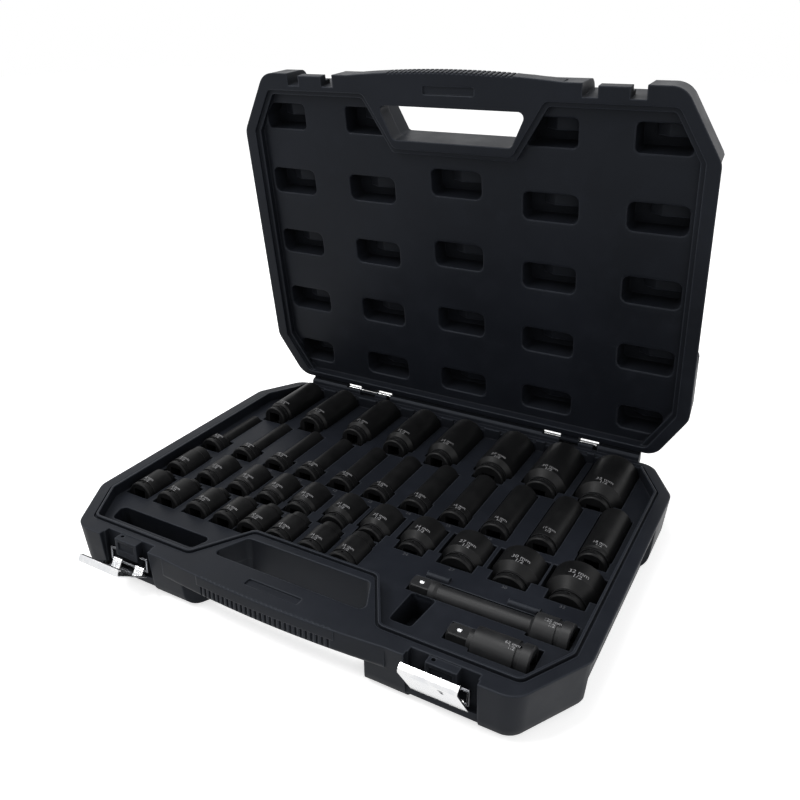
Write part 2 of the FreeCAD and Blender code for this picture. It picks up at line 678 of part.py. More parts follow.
def base_shell():
    latches = (-LATCH_X, LATCH_X)
    body = case_block(BASE_H, 0.0, BASE_DRAFT_DEG, BASE_EDGE_R)
    body = body.fuse([grip_bow(BASE_H, BASE_H - GRIP_H), rim_bead(), hinge_rail()])
    tray = slab(grow(tray_outline(0), -BEAD_W), BASE_H - TRAY_DEPTH, BASE_H + 6,
                TRAY_CORNER_R - 1.5)
    cuts = [rim_groove(), tray, handle_opening(-1, BASE_H + 6), grip_bay(-1, BASE_H - GRIP_H),
            grip_slot(BASE_H, -1), finger_slot()]
    cuts += side_recesses(BASE_H - FLANGE, -1)
    cuts += grip_ribs(BASE_H - GRIP_H - 1, BASE_H + 1)
    for x in latches:
        cuts += latch_bay_cuts(x)
    body = body.cut(cuts)
    body = body.fuse([latch_block(x) for x in latches] + clip_ridges())
    pockets = bar_pockets()
    for row, size, x, y, length in socket_rows():
        pockets += socket_pocket(row, size, x, y, length)
    pockets += [bail_hole(x) for x in latches]
    pockets.append(slab(outline(44, 68, 44, 40), -1, UNDER_RECESS, 6.0))
    return body.cut(pockets)


# ================================================================ lid (drawn shut)
def cell_outline(cx, cy, w, h, cut_left, cut_right):
    """Cell outline; each front corner may be cut by (along x, along y)."""
    x0 = cx - w / 2
    x1 = cx + w / 2
    y0 = cy - h / 2
    y1 = cy + h / 2
    pts = [(x1, y1), (x0, y1)]
    if cut_left:
        pts += [(x0, y0 + cut_left[1]), (x0 + cut_left[0], y0)]
    else:
        pts += [(x0, y0)]
    if cut_right:
        pts += [(x1 - cut_right[0], y0), (x1, y0 + cut_right[1])]
    else:
        pts += [(x1, y0)]
    return pts


def lid_cell(pts, cx, cy, h):
    """One pocket in the lid panel with the block that rises from its back."""
    top = BASE_H + LID_DISH_DEPTH
    far = top + CELL_DEPTH
    rim = grow(pts, CELL_LIP)
    small = grow(pts, -CELL_DRAFT)
    r = CELL_R
    mouth = Part.makeLoft([round_wire(rim, r + CELL_LIP, top), round_wire(pts, r, top + CELL_LIP)],
                          True, True)
    well = Part.makeLoft([round_wire(pts, r, top + CELL_LIP), round_wire(small, r - 1.0, far)],
                         True, True)
    front = cy - h / 2 - 2
    kiss = slab([(cx - KISS_W / 2, front), (cx + KISS_W / 2, front),
                 (cx + KISS_W / 2 - 1.5, cy + h / 2 - KISS_FROM_REAR),
                 (cx - KISS_W / 2 + 1.5, cy + h / 2 - KISS_FROM_REAR)],
                top + KISS_DOWN, far + 2)
    above = slab(rim, top - 3, top, r + CELL_LIP)
    return [above, mouth, well.cut(kiss)]


def lid_cells():
    cells = []
    for i, x in enumerate(COL_X):
        rows = MID_ROW_Y if i == 2 else ROW_Y
        for y in rows:
            w, h = CELL_W, CELL_H
            left = None
            right = None
            if y == ROW_Y[0]:
                w, h = CELL_FRONT_W, CELL_FRONT_H
                left = (CELL_CUT, None, None, CELL_SLANT, None)[i]
                right = (None, CELL_SLANT, None, None, CELL_CUT)[i]
            if y == ROW_Y[-1] and i in (0, 4):
                w = CELL_CORNER_W
            cells += lid_cell(cell_outline(x, y, w, h, left, right), x, y, h)
    return cells


def catch_cuts(cx):
    """Relief beside and over the catch block and the step that the lever lip pulls on."""
    front = FRONT_Y - 6.0
    top = BASE_H + LID_H + 1.0
    outer = CATCH_HALF + CATCH_NOTCH
    cuts = [box(cx - outer, cx + outer, front, CATCH_NOTCH_Y, BASE_H + CATCH_H, top),
            box(cx - outer, cx + outer, front, CATCH_FRONT_Y, BASE_H - 1, top),
            box(cx - outer, cx + outer, front, CATCH_FRONT_Y + CATCH_STEP,
                BASE_H + CATCH_LEDGE_UP, top)]
    for x in (cx - outer, cx + CATCH_HALF):
        cuts.append(box(x, x + CATCH_NOTCH, front, CATCH_NOTCH_Y, BASE_H - 1, top))
    return cuts


def lid_knuckle(cx):
    """Tube round the pin with its web to the lid rear wall."""
    zc = BASE_H + HINGE_UP
    x0 = cx - KNUCKLE_W / 2
    tube = rod((x0, HINGE_Y, zc), (1, 0, 0), KNUCKLE_R, KNUCKLE_W)
    pts = [V(x0, REAR_Y - 5, BASE_H + 0.8), V(x0, REAR_Y + 1, BASE_H + 0.8),
           V(x0, HINGE_Y, zc - KNUCKLE_R + 0.8), V(x0, HINGE_Y + KNUCKLE_R * 0.7, zc + 3.0),
           V(x0, REAR_Y - 1, BASE_H + 17.0), V(x0, REAR_Y - 5, BASE_H + 17.0)]
    web = Part.Face(Part.makePolygon(pts + [pts[0]])).extrude(V(KNUCKLE_W, 0, 0))
    return tube.fuse(web).removeSplitter()


def knuckle_bore(cx, open_mouth):
    """Bore of a knuckle; with a mouth it snaps over the pin."""
    zc = BASE_H + HINGE_UP
    r = PIN_R + PIN_FIT
    x0 = cx - KNUCKLE_W / 2 - 1
    bore = rod((x0, HINGE_Y, zc), (1, 0, 0), r, KNUCKLE_W + 2)
    if not open_mouth:
        return [bore]
    mouth = box(x0, x0 + KNUCKLE_W + 2, HINGE_Y - r * 0.9, HINGE_Y + r * 0.9, zc - 12, zc)
    mouth.rotate(V(0, HINGE_Y, zc), V(1, 0, 0), -KNUCKLE_MOUTH_DEG)
    return [bore, mouth]


def lid_shell():
    z0 = BASE_H + RIM_GAP
    z1 = BASE_H + LID_H
    body = case_block(z0, z1, LID_DRAFT_DEG, LID_EDGE_R)
    body = body.fuse(grip_bow(z0, z0 + GRIP_H_LID))
    step = slab(tray_outline(BEAD_AIR), BASE_H - 1, BASE_H + LID_STEP_DEPTH, TRAY_CORNER_R)
    dish = slab(grow(tray_outline(0, LID_STEP_W + BEAD_AIR), -LID_STEP_W), BASE_H - 1,
                BASE_H + LID_DISH_DEPTH, TRAY_CORNER_R - 2.5)
    panel = slab(outline(38, 62, 38, 34), z1 - TOP_RECESS, z1 + 1, 6.0)
    cuts = [step, dish, panel, handle_opening(BASE_H - 1, z1 + 1),
            grip_bay(z0 + GRIP_H_LID, z1 + 1), grip_slot(z0, 1)]
    cuts += side_recesses(z0 + FLANGE, z1 + 1)
    cuts += grip_ribs(z0 - 1, z0 + GRIP_H_LID + 1)
    cuts += lid_cells()
    for x in (-LATCH_X, LATCH_X):
        cuts += catch_cuts(x)
    body = body.cut(cuts)
    body = body.fuse([lid_knuckle(x) for x in HINGE_X])
    bores = knuckle_bore(HINGE_X[0], True) + knuckle_bore(HINGE_X[1], False)
    return open_lid(body.cut(bores))


def open_lid(shape):
    """Turn a shape drawn on the shut lid to the open stand."""
    out = shape.copy()
    out.rotate(V(0, HINGE_Y, BASE_H + HINGE_UP), V(1, 0, 0), -LID_OPEN_DEG)
    return out


# ================================================================ small metal parts
def hinge_pin(cx):
    """Wire pin with its right end bent down."""
    zc = BASE_H + HINGE_UP
    x0 = cx - PIN_LEN / 2
    x1 = cx + PIN_LEN / 2
    line = Part.makeLine(V(x0, HINGE_Y, zc), V(x1 - PIN_BEND, HINGE_Y, zc))
    k = PIN_BEND * math.sin(math.radians(45))
    arc = Part.Arc(V(x1 - PIN_BEND, HINGE_Y, zc),
                   V(x1 - PIN_BEND + k, HINGE_Y, zc - PIN_BEND + k),
                   V(x1, HINGE_Y, zc - PIN_BEND)).toShape()
    leg = Part.makeLine(V(x1, HINGE_Y, zc - PIN_BEND), V(x1, HINGE_Y, zc - PIN_BEND - PIN_LEG))
    path = Part.Wire([line, arc, leg])
    ring = Part.Wire(Part.makeCircle(PIN_R, V(x0, HINGE_Y, zc), V(1, 0, 0)))
    return path.makePipeShell([ring], True, False)


def bail_far_end():
    """Lever pivot, as drawn."""
    a = math.radians(BAIL_DOWN_DEG)
    return (BAIL_PIVOT_Y - BAIL_REACH * math.cos(a),
            BASE_H - BAIL_PIVOT_DOWN - BAIL_REACH * math.sin(a))


def latch_bail(cx):
    """Closed wire loop: one run through the base block, one through the lever."""
    py = BAIL_PIVOT_Y
    pz = BASE_H - BAIL_PIVOT_DOWN
    qy, qz = bail_far_end()
    r = BAIL_R
    h = BAIL_HALF
    parts = [rod((cx - h, py, pz), (1, 0, 0), r, 2 * h),
             rod((cx - h, qy, qz), (1, 0, 0), r, 2 * h)]
    reach = V(0, qy - py, qz - pz)
    for s in (-1, 1):
        parts.append(Part.makeCylinder(r, reach.Length, V(cx + s * h, py, pz), reach))
        parts.append(Part.makeSphere(r, V(cx + s * h, py, pz)))
        parts.append(Part.makeSphere(r, V(cx + s * h, qy, qz)))
    return parts[0].fuse(parts[1:]).removeSplitter()


def lever_plate():
    """Upright plate in front of the wire axis, curled back into a lip at its top."""
    front = -LEVER_OFFSET - LEVER_T
    t = LEVER_T
    ro = LEVER_CURL_R
    ri = ro - t
    top = LEVER_LEN
    yc = front + ro
    lip = front + LEVER_HOOK
    k = math.sin(math.radians(45))
    outer = Part.Arc(V(0, front, top - ro), V(0, yc - ro * k, top - ro + ro * k), V(0, yc, top))
    inner = Part.Arc(V(0, yc, top - t), V(0, yc - ri * k, top - ro + ri * k),
                     V(0, front + t, top - ro))
    corners = [V(0, yc, top), V(0, lip, top), V(0, lip, top - LEVER_LIP),
               V(0, lip - t, top - LEVER_LIP), V(0, lip - t, top - t), V(0, yc, top - t)]
    edges = [Part.makeLine(V(0, front, 0), V(0, front, top - ro)), outer.toShape()]
    edges += [Part.makeLine(corners[i], corners[i + 1]) for i in range(5)]
    edges += [inner.toShape(), Part.makeLine(V(0, front + t, top - ro), V(0, front + t, 0)),
              Part.makeLine(V(0, front + t, 0), V(0, front, 0))]
    plate = Part.Face(Part.Wire(edges)).extrude(V(2 * LEVER_HALF, 0, 0))
    plate.translate(V(-LEVER_HALF, 0, 0))
    return plate


def lever_tubes():
    """Rolled tubes that hold the wire, joined to the foot of the plate."""
    tubes = []
    for s in (-1, 1):
        xm = s * (BAIL_HALF - BAIL_R - 1.4 - TUBE_W / 2)
        tube = rod((xm - TUBE_W / 2, 0, 0), (1, 0, 0), BAIL_R + WIRE_FIT + LEVER_T, TUBE_W)
        link = box(xm - TUBE_W / 2, xm + TUBE_W / 2, -LEVER_OFFSET - LEVER_T, 0, -1.0, 2.4)
        tubes.append(tube.fuse(link))
    return tubes


def latch_lever(cx, open_deg):
    """Stamped lever with a curled lip, a keyhole and rolled tubes, turned open."""
    lever = lever_plate().fuse(lever_tubes())
    bore = rod((-LEVER_HALF - 1, 0, 0), (1, 0, 0), BAIL_R + WIRE_FIT, 2 * LEVER_HALF + 2)
    lever = lever.cut(bore)
    front = -LEVER_OFFSET - LEVER_T - 1
    hole = rod((KEYHOLE_X, front, KEYHOLE_UP), (0, 1, 0), KEYHOLE_R, LEVER_T + 2)
    slot = box(KEYHOLE_X - KEYHOLE_R / 2, KEYHOLE_X + KEYHOLE_R / 2, front, front + LEVER_T + 2,
               KEYHOLE_UP - KEYHOLE_SLOT, KEYHOLE_UP)
    lever = lever.cut(hole.fuse(slot)).removeSplitter()
    lever.rotate(V(0, 0, 0), V(1, 0, 0), open_deg)
    qy, qz = bail_far_end()
    lever.translate(V(cx, qy, qz))
    return lever


def detent_ball(x, y):
    z = BASE_H - BAR_DOWN + ball_centre_up()
    return Part.makeSphere(BALL_R, V(x + BALL_FROM_END, y, z))


# ================================================================ build
def save(shape, name):
    shape.exportStep("parts/" + name + ".step")
    print(name, "solids", len(shape.Solids), "faces", len(shape.Faces),
          "valid", shape.isValid(), "volume", round(shape.Volume, 1))


def build():
    save(base_shell(), "base_shell")
    save(lid_shell(), "lid_shell")
    for cx, word in zip(HINGE_X, ("left", "right")):
        save(hinge_pin(cx), "hinge_pin_" + word)
    for cx, word, turn in zip((-LATCH_X, LATCH_X), ("left", "right"), LEVER_OPEN_DEG):
        save(latch_bail(cx), "latch_bail_" + word)
        save(latch_lever(cx, turn), "latch_lever_" + word)
    for row, size, x, y, length in socket_rows():
        kind = "deep" if row.startswith("deep") else "shallow"
        socket = make_socket(size, length)
        socket.translate(V(x, y, socket_axis_height(size, row)))
        save(socket, "%s_socket_%02d" % (kind, size))
    long_bar = make_bar(LONG_L, True)
    long_bar.translate(V(LONG_X0, LONG_Y, BASE_H - BAR_DOWN))
    save(long_bar, "extension_bar_long")
    short_bar = make_bar(SHORT_L, False)
    short_bar.translate(V(SHORT_X0, SHORT_Y, BASE_H - BAR_DOWN))
    save(short_bar, "extension_bar_short")
    save(detent_ball(LONG_X0, LONG_Y), "detent_ball_long")
    save(detent_ball(SHORT_X0, SHORT_Y), "detent_ball_short")


build()
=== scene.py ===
import json
import math

import bmesh
import bpy
from mathutils import Matrix, Vector


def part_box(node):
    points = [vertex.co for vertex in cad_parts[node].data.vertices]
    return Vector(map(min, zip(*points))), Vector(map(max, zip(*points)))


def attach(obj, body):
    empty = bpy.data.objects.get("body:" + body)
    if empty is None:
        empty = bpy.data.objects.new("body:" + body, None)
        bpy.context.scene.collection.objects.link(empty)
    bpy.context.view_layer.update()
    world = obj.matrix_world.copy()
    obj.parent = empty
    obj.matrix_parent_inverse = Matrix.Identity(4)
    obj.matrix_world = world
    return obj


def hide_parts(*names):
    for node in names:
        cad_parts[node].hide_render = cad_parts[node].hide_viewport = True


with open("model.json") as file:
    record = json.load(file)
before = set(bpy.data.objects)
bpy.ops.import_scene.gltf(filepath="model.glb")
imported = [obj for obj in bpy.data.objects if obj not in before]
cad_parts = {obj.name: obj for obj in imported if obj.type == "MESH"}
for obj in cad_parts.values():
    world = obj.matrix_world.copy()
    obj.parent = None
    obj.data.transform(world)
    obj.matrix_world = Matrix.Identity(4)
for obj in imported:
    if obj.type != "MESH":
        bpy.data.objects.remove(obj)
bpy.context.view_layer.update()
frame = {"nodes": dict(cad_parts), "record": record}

MM = 0.001
NODES = frame["nodes"]
RECORD = frame["record"]
BODY_OF = {n: body for body, members in RECORD["behaviour"]["bodies"].items() for n in members}
JOINTS = {j["name"]: j for j in RECORD["behaviour"]["joints"]}
HINGE = Vector(JOINTS["lid_hinge"]["pos_m"])
HINGE_UP = 3.8 * MM              # hinge pin over the rim of the base
RIM = HINGE.z - HINGE_UP         # top of the base, where the lid meets it
TRAY = RIM - 9.5 * MM            # floor of the tray between the tools
FRONT_Y = -167.5 * MM            # front wall of the base


# ------------------------------------------------------------------ node helpers
def new_material(name):
    mat = bpy.data.materials.new(name)
    mat.use_nodes = True
    nt = mat.node_tree
    nt.nodes.clear()
    out = nt.nodes.new("ShaderNodeOutputMaterial")
    bsdf = nt.nodes.new("ShaderNodeBsdfPrincipled")
    nt.links.new(bsdf.outputs[0], out.inputs[0])
    return mat, nt, bsdf


def coords(nt):
    return nt.nodes.new("ShaderNodeTexCoord").outputs["Object"]


def noise(nt, coord, scale, detail=3.0, rough=0.55):
    """Noise with about this many lumps in a metre."""
    node = nt.nodes.new("ShaderNodeTexNoise")
    node.inputs["Scale"].default_value = scale
    node.inputs["Detail"].default_value = detail
    node.inputs["Roughness"].default_value = rough
    nt.links.new(coord, node.inputs["Vector"])
    return node.outputs["Fac"]


def span(nt, value, out_lo, out_hi, in_lo=0.0, in_hi=1.0):
    """Map a value's range onto another, clamped at both ends."""
    node = nt.nodes.new("ShaderNodeMapRange")
    node.inputs["From Min"].default_value = in_lo
    node.inputs["From Max"].default_value = in_hi
    node.inputs["To Min"].default_value = out_lo
    node.inputs["To Max"].default_value = out_hi
    nt.links.new(value, node.inputs["Value"])
    return node.outputs["Result"]


def maths(nt, operation, a, b):
    node = nt.nodes.new("ShaderNodeMath")
    node.operation = operation
    nt.links.new(a, node.inputs[0])
    nt.links.new(b, node.inputs[1])
    return node


def blend(nt, fac, a, b):
    """Mix two colours, each a plain tuple or a socket."""
    node = nt.nodes.new("ShaderNodeMix")
    node.data_type = "RGBA"
    nt.links.new(fac, node.inputs["Factor"])
    for value, socket in ((a, node.inputs["A"]), (b, node.inputs["B"])):
        if isinstance(value, tuple):
            socket.default_value = (*value, 1.0)
        else:
            nt.links.new(value, socket)
    return node.outputs["Result"]


def open_to_air(nt, reach, samples):
    """1 where a face sees the open, 0 where it is shut in."""
    node = nt.nodes.new("ShaderNodeAmbientOcclusion")
    node.samples = samples
    node.inputs["Distance"].default_value = reach
    return node.outputs["AO"]


def edge_mask(nt, radius):
    """The normal rounded over edges, and a mask that is 1 on outer edges and 0 on flats."""
    bevel = nt.nodes.new("ShaderNodeBevel")
    bevel.samples = 6
    bevel.inputs["Radius"].default_value = radius
    geometry = nt.nodes.new("ShaderNodeNewGeometry")
    dot = nt.nodes.new("ShaderNodeVectorMath")
    dot.operation = "DOT_PRODUCT"
    nt.links.new(bevel.outputs[0], dot.inputs[0])
    nt.links.new(geometry.outputs["True Normal"], dot.inputs[1])
    turned = span(nt, dot.outputs["Value"], 1.0, 0.0, 0.80, 0.995)
    outer = span(nt, open_to_air(nt, radius * 4, 6), 0.0, 1.0, 0.45, 0.75)
    return bevel.outputs[0], maths(nt, "MULTIPLY", turned, outer).outputs[0]


def bumps(nt, bsdf, normal, parts):
    """Stack bumps, each (height, strength, distance), on the rounded normal."""
    for height, strength, distance in parts:
        node = nt.nodes.new("ShaderNodeBump")
        node.inputs["Strength"].default_value = strength
        node.inputs["Distance"].default_value = distance
        nt.links.new(height, node.inputs["Height"])
        nt.links.new(normal, node.inputs["Normal"])
        normal = node.outputs[0]
    nt.links.new(normal, bsdf.inputs["Normal"])


# ------------------------------------------------------------------ materials
def case_material(name, dark, light, edge, rough_lo, rough_hi, grain):
    """Moulded black plastic: clouded tone, scuffs, painted highlight on outer edges, painted shade
    and higher roughness in hollows, and fine grain.
    """
    mat, nt, bsdf = new_material(name)
    co = coords(nt)
    rounded, edges = edge_mask(nt, 2.0 * MM)
    broad = noise(nt, co, 9.0, 3.0, 0.5)
    smudge = noise(nt, co, 46.0, 5.0, 0.6)
    fine = noise(nt, co, 2600.0, 2.0, 0.6)
    pebble = nt.nodes.new("ShaderNodeTexVoronoi")
    pebble.inputs["Scale"].default_value = 1500.0
    nt.links.new(co, pebble.inputs["Vector"])
    hollow = span(nt, open_to_air(nt, 26.0 * MM, 8), 1.0, 0.0, 0.15, 0.78)

    base = blend(nt, span(nt, broad, 0.0, 1.0, 0.3, 0.7), dark, light)
    scuff = blend(nt, span(nt, smudge, 0.0, 0.35, 0.52, 0.8), base, tuple(c * 1.45 for c in light))
    # painted highlight: outer edges are lightened towards the edge colour
    wear_and_edge_highlight = blend(nt, span(nt, edges, 0.0, 0.85), scuff, edge)
    # painted shade: shut-in hollows are darkened towards a third of the dark tone
    painted_hollow_shade = blend(nt, span(nt, hollow, 0.0, 0.8), wear_and_edge_highlight, tuple(c * 0.3 for c in dark))
    nt.links.new(painted_hollow_shade, bsdf.inputs["Base Color"])

    rough = maths(nt, "ADD", span(nt, smudge, rough_lo, rough_hi, 0.3, 0.75),
                  span(nt, hollow, 0.0, 0.45))
    rough.use_clamp = True
    nt.links.new(rough.outputs[0], bsdf.inputs["Roughness"])
    bumps(nt, bsdf, rounded, [(fine, grain * 0.5, 0.12 * MM),
                              (pebble.outputs["Distance"], grain, 0.2 * MM),
                              (broad, 0.10, 1.5 * MM)])
    bsdf.inputs["Specular IOR Level"].default_value = 0.14
    bsdf.inputs["Specular Tint"].default_value = (0.86, 0.92, 1.0, 1.0)
    return mat


def steel_material(name, dark, light, edge, rough_lo, rough_hi, gloss):
    """Black phosphated steel: clouded tone, painted highlight on edges and faint turning marks."""
    mat, nt, bsdf = new_material(name)
    co = coords(nt)
    rounded, edges = edge_mask(nt, 0.5 * MM)
    cloud = noise(nt, co, 70.0, 5.0, 0.6)
    fine = noise(nt, co, 3200.0, 2.0, 0.6)
    turning = nt.nodes.new("ShaderNodeTexWave")
    turning.bands_direction = "Y"
    turning.inputs["Scale"].default_value = 900.0
    turning.inputs["Distortion"].default_value = 1.2
    nt.links.new(co, turning.inputs["Vector"])

    base = blend(nt, span(nt, cloud, 0.0, 1.0, 0.3, 0.7), dark, light)
    # painted highlight: edges are lightened towards the edge colour
    wear_and_edge_highlight = blend(nt, span(nt, edges, 0.0, 0.8), base, edge)
    nt.links.new(wear_and_edge_highlight, bsdf.inputs["Base Color"])
    nt.links.new(span(nt, cloud, rough_lo, rough_hi, 0.3, 0.75), bsdf.inputs["Roughness"])
    bsdf.inputs["Specular IOR Level"].default_value = gloss
    bumps(nt, bsdf, rounded, [(fine, 0.25, 0.08 * MM), (turning.outputs["Fac"], 0.05, 0.04 * MM)])
    return mat


def chrome_material(name, dark, light):
    """Plated metal: uneven brightness and polish with fine scratches."""
    mat, nt, bsdf = new_material(name)
    co = coords(nt)
    rounded, _ = edge_mask(nt, 0.3 * MM)
    cloud = noise(nt, co, 120.0, 4.0, 0.6)
    scratch = noise(nt, co, 1400.0, 2.0, 0.5)
    tone = blend(nt, span(nt, cloud, 0.0, 1.0, 0.35, 0.7), dark, light)
    nt.links.new(tone, bsdf.inputs["Base Color"])
    bsdf.inputs["Metallic"].default_value = 1.0
    nt.links.new(span(nt, cloud, 0.10, 0.26, 0.3, 0.75), bsdf.inputs["Roughness"])
    bumps(nt, bsdf, rounded, [(scratch, 0.06, 0.05 * MM)])
    return mat


def print_material(name, tone):
    """Ink or raised lettering, worn in patches."""
    mat, nt, bsdf = new_material(name)
    wear = noise(nt, coords(nt), 900.0, 3.0, 0.7)
    wear_and_edge_highlight = tuple(c * 0.55 for c in tone)
    colour = blend(nt, span(nt, wear, 0.0, 1.0, 0.35, 0.75), tone, wear_and_edge_highlight)
    nt.links.new(colour, bsdf.inputs["Base Color"])
    bsdf.inputs["Roughness"].default_value = 0.6
    return mat


# The third colour is a painted highlight along the outer edges of the case.
CASE = case_material("case_plastic", (0.0064, 0.0074, 0.0102), (0.0098, 0.0113, 0.0156),
                     (0.040, 0.045, 0.056), 0.36, 0.50, 0.14)
# The third colour of the socket and bar steels is a painted highlight along their edges.
SOCKET = steel_material("socket_phosphate", (0.0042, 0.0043, 0.0046), (0.0066, 0.0067, 0.0071),
                        (0.046, 0.047, 0.050), 0.36, 0.50, 0.14)
BAR = steel_material("bar_phosphate", (0.0120, 0.0124, 0.0134), (0.0190, 0.0194, 0.0206),
                     (0.045, 0.046, 0.050), 0.36, 0.50, 0.20)
CHROME = chrome_material("bright_plate", (0.78, 0.79, 0.81), (0.93, 0.93, 0.93))
# painted shade: a darker copy of the bright plating, used for the wire loops
SHADED_PLATE = chrome_material("dark_wire", (0.070, 0.072, 0.078), (0.120, 0.122, 0.130))
PRINT = print_material("size_print", (0.30, 0.30, 0.31))
MOULDED = print_material("moulded_number", (0.055, 0.058, 0.068))


def finish_of(node):
    if node in ("base_shell", "lid_shell"):
        return CASE
    if "socket" in node:
        return SOCKET
    if node.startswith("extension"):
        return BAR
    return SHADED_PLATE if "bail" in node else CHROME


for node, ob in NODES.items():
    ob.data.materials.clear()
    ob.data.materials.append(finish_of(node))


# ------------------------------------------------------------------ outlines and meshes
WELD = 1e-6                      # points of a mesh closer than this are one point
CORNER_STEPS = 6                 # straight pieces in a rounded corner
CAD_SHADING = ("custom_normal", "sharp_face", "sharp_edge")


def offset_polygon(pts, d):
    """Move every side of a counter-clockwise polygon outward by d."""
    lines = []
    for a, b in zip(pts, pts[1:] + pts[:1]):
        e = (Vector(b) - Vector(a)).normalized()
        normal = Vector((e.y, -e.x))
        lines.append((normal, normal.dot(Vector(a)) + d))
    out = []
    for i in range(len(lines)):
        (n1, d1), (n2, d2) = lines[i - 1], lines[i]
        det = n1.x * n2.y - n1.y * n2.x
        out.append(((d1 * n2.y - d2 * n1.y) / det, (n1.x * d2 - n2.x * d1) / det))
    return out


def round_polygon(pts, r):
    """Replace each corner of a convex polygon by an arc of radius r."""
    out = []
    for i, corner in enumerate(pts):
        p = Vector(corner)
        a = (Vector(pts[i - 1]) - p).normalized()
        b = (Vector(pts[(i + 1) % len(pts)]) - p).normalized()
        half = math.acos(max(-1.0, min(1.0, a.dot(b)))) / 2
        reach = r / math.tan(half)
        centre = p + (a + b).normalized() * (r / math.sin(half))
        start = p + a * reach - centre
        end = p + b * reach - centre
        turn = math.atan2(start.x * end.y - start.y * end.x, start.dot(end))
        for k in range(CORNER_STEPS + 1):
            c, s = math.cos(turn * k / CORNER_STEPS), math.sin(turn * k / CORNER_STEPS)
            out.append((centre.x + start.x * c - start.y * s,
                        centre.y + start.x * s + start.y * c))
    return out


def level(outline, z):
    return [(x, y, z) for x, y in outline]


def linked(name, data):
    ob = bpy.data.objects.new(name, data)
    bpy.context.scene.collection.objects.link(ob)
    return ob


def mesh_from(bm, name):
    me = bpy.data.meshes.new(name)
    bm.to_mesh(me)
    bm.free()
    return me


def evaluated_mesh(ob):
    bpy.context.view_layer.update()
    return bpy.data.meshes.new_from_object(
        ob.evaluated_get(bpy.context.evaluated_depsgraph_get()))


def solid_from_rings(name, rings):
    """Closed object through rings of equal length, capped at both ends."""
    bm = bmesh.new()
    loops = [[bm.verts.new(p) for p in ring] for ring in rings]
    for lo, hi in zip(loops, loops[1:]):
        for i in range(len(lo)):
            j = (i + 1) % len(lo)
            bm.faces.new((lo[i], lo[j], hi[j], hi[i]))
    bm.faces.new(list(reversed(loops[0])))
    bm.faces.new(loops[-1])
    bmesh.ops.recalc_face_normals(bm, faces=bm.faces)
    return linked(name, mesh_from(bm, name))


def boolean(ob, tools, operation):
    """Join the tools, apply the operation to ob, and throw the tools away."""
    bm = bmesh.new()
    for tool in tools:
        one = bmesh.new()
        one.from_mesh(tool.data)
        bmesh.ops.remove_doubles(one, verts=one.verts, dist=WELD)
        bmesh.ops.recalc_face_normals(one, faces=one.faces)
        if one.calc_volume(signed=True) < 0:
            bmesh.ops.reverse_faces(one, faces=one.faces)
        bmesh.ops.triangulate(one, faces=one.faces)
        one.to_mesh(tool.data)
        one.free()
        bm.from_mesh(tool.data)
        bpy.data.objects.remove(tool)
    cutter = linked("tool", mesh_from(bm, "tool"))
    mod = ob.modifiers.new("boolean", "BOOLEAN")
    mod.operation = operation
    mod.solver = "MANIFOLD"
    mod.object = cutter
    result = evaluated_mesh(ob)
    ob.modifiers.clear()
    ob.data = result
    bpy.data.objects.remove(cutter)


def forget_shading(me):
    for name in [a.name for a in me.attributes if a.name in CAD_SHADING]:
        me.attributes.remove(me.attributes[name])


def welded_copy(node, name):
    """A copy of a CAD mesh with its seams welded, ready to be cut."""
    bm = bmesh.new()
    bm.from_mesh(NODES[node].data)
    bmesh.ops.remove_doubles(bm, verts=bm.verts, dist=WELD)
    me = mesh_from(bm, name)
    forget_shading(me)
    return linked(name, me)


def crisp(ob, degrees):
    """Smooth shading with edges over this angle kept sharp and flat faces left flat."""
    forget_shading(ob.data)
    ob.data.shade_smooth()
    ob.data.set_sharp_from_angle(angle=math.radians(degrees))
    mod = ob.modifiers.new("weighted", "WEIGHTED_NORMAL")
    mod.keep_sharp = True
    mod.weight = 100


# ------------------------------------------------------------------ lid with its pockets
# All of this is drawn with the lid shut on the base and then swung open.
LID_OPEN_DEG = 81.0
PANEL = RIM + 9.4 * MM           # face of the lid panel
COLUMNS = [x * MM for x in (-180.0, -89.0, 0.0, 89.0, 180.0)]
ROWS = [y * MM for y in (-125.0, -59.5, 7.0, 73.5, 138.5)]
MIDDLE_ROWS = [y * MM for y in (-72.4, -2.0, 68.5, 138.5)]
MIDDLE = 2                       # the column behind the handle
# Width and height of a pocket in mm: old as the CAD lid has it, new as the photo shows it.
OLD_SIZE, OLD_FRONT, OLD_CORNER = (48.0, 31.0), (43.0, 29.0), (40.0, 31.0)
NEW_SIZE, NEW_FRONT, NEW_CORNER = (49.5, 25.0), (44.5, 24.0), (41.0, 25.0)
OLD_CUT, NEW_CUT = (10.0, 20.0), (8.0, 12.0)     # slanted front corner, mm
CELL_DEPTH = 20.0 * MM
CELL_R, CUT_CELL_R = 6.0 * MM, 4.0 * MM          # corner radii, plain and with a cut corner
CELL_LIP, LIP_EASE = 1.5 * MM, 0.3               # eased lip and how far down its middle is
CELL_DRAFT = 1.2 * MM                            # the floor is smaller by this all round
CLEAR = 3.0 * MM                                 # a cutter stands this far out of the panel
PAST = 4.0 * MM                                  # and the block this far past the pocket
BLOCK_DOWN, BLOCK_LEFT, BLOCK_RIDGE = 11.0 * MM, -9.0 * MM, 1.0 * MM
BLOCK_SLOPE, BLOCK_FALL = 4.5 * MM, 2.0 * MM     # drop to its left and to its right
BLOCK_REAR = 0.04                                # its rear face, as a share of the height
PLUG_OVER, PLUG_R = 2.2 * MM, 2.0 * MM           # a plug is larger than the old pocket
PLUG_TOP, PLUG_BOTTOM = 0.02 * MM, 20.8 * MM     # from the panel


